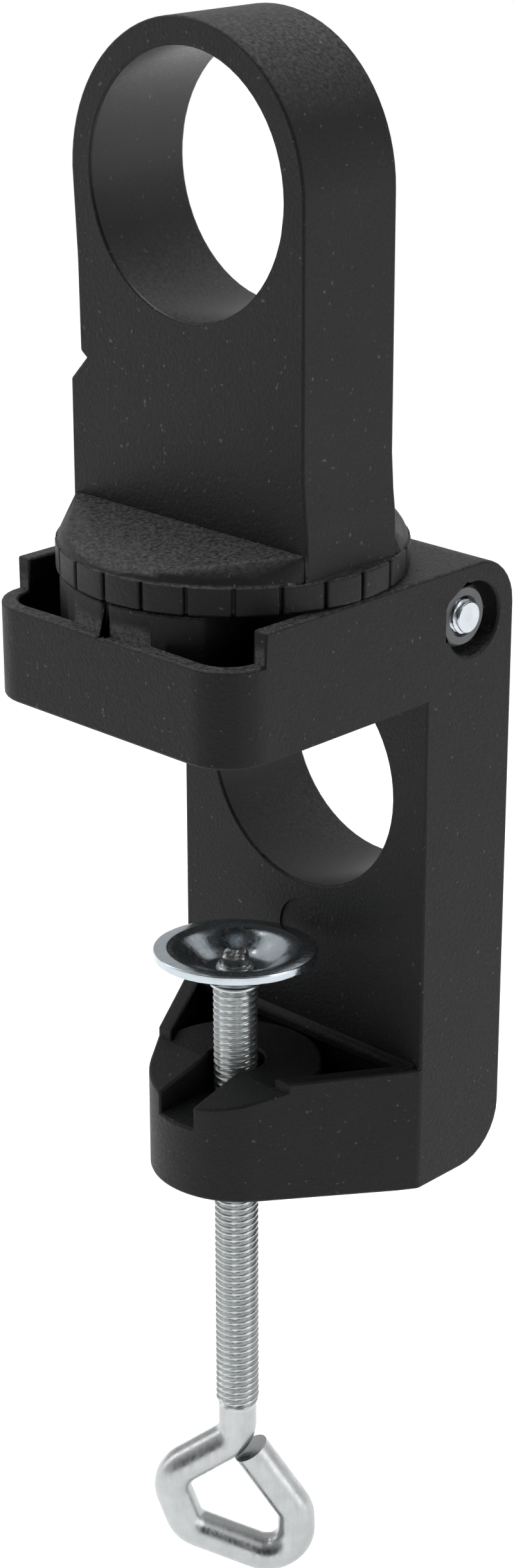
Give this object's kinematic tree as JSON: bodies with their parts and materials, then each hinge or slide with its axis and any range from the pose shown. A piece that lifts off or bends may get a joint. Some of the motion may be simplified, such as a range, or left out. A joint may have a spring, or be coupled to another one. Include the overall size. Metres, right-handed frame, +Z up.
{
  "type": "bench clamp holder",
  "caption": "Black plastic bench clamp with a swivelling upright collar for a 43 mm round neck, a second bore through its spine and a zinc-plated screw with a bent loop handle.",
  "frame": {"origin": "on the flat underside of the upper jaw, in the middle of its width, 20 mm in front of the axis that the turntable and the clamp screw share", "axes": "+Z up, out of the clamp along the upright; -Y towards the open side of the clamp, +Y towards its spine; +X towards the side with the spine bolt's nut"},
  "size_m": [0.0649, 0.0687, 0.2912],
  "materials": {
    "black_plastic": "fine spark-eroded texture, satin",
    "collar_plastic": "fine spark-eroded texture, satin; smooth in the bore",
    "zinc_steel": "bright zinc plate",
    "bolt_steel": "zinc-plated hardware"
  },
  "bodies": {
    "clamp": {"clamp_body": "black_plastic", "clamp_nut": "bolt_steel", "table_washer": "bolt_steel", "table_disc_spring": "bolt_steel", "spine_nut": "bolt_steel"},
    "collar": {"swivel_collar": "collar_plastic", "table_bolt": "bolt_steel", "table_nut": "bolt_steel"},
    "plate": {"pressure_plate": "zinc_steel"},
    "screw": {"clamp_screw": "zinc_steel"},
    "bolt_washer": {"spine_washer": "bolt_steel"},
    "spine_bolt": {"spine_bolt": "bolt_steel"}
  },
  "joints": [
    {"name": "table_turn", "type": "hinge", "parent": "clamp", "child": "collar", "pos_m": [0, 0.02, 0.022], "axis": [0, 0, 1], "continuous": true},
    {"name": "screw_travel", "type": "slide", "parent": "clamp", "child": "plate", "axis": [0, 0, 1], "range_m": [-0.0135, 0.049]},
    {"name": "screw_turn", "type": "hinge", "parent": "plate", "child": "screw", "pos_m": [0, 0.02, -0.1], "axis": [0, 0, 1], "range_deg": [-3800, 13500]},
    {"name": "spine_bolt_travel", "type": "slide", "parent": "clamp", "child": "bolt_washer", "axis": [1, 0, 0], "range_m": [-0.002, 0]},
    {"name": "spine_bolt_turn", "type": "hinge", "parent": "bolt_washer", "child": "spine_bolt", "pos_m": [-0.0308, 0.0463, 0.013], "axis": [1, 0, 0], "range_deg": [-700, 0]}
  ],
  "couplings": [
    {"joint": "screw_travel", "follows": "screw_turn", "m_per_rad": 0.00019894},
    {"joint": "spine_bolt_travel", "follows": "spine_bolt_turn", "m_per_rad": 0.00015915}
  ]
}
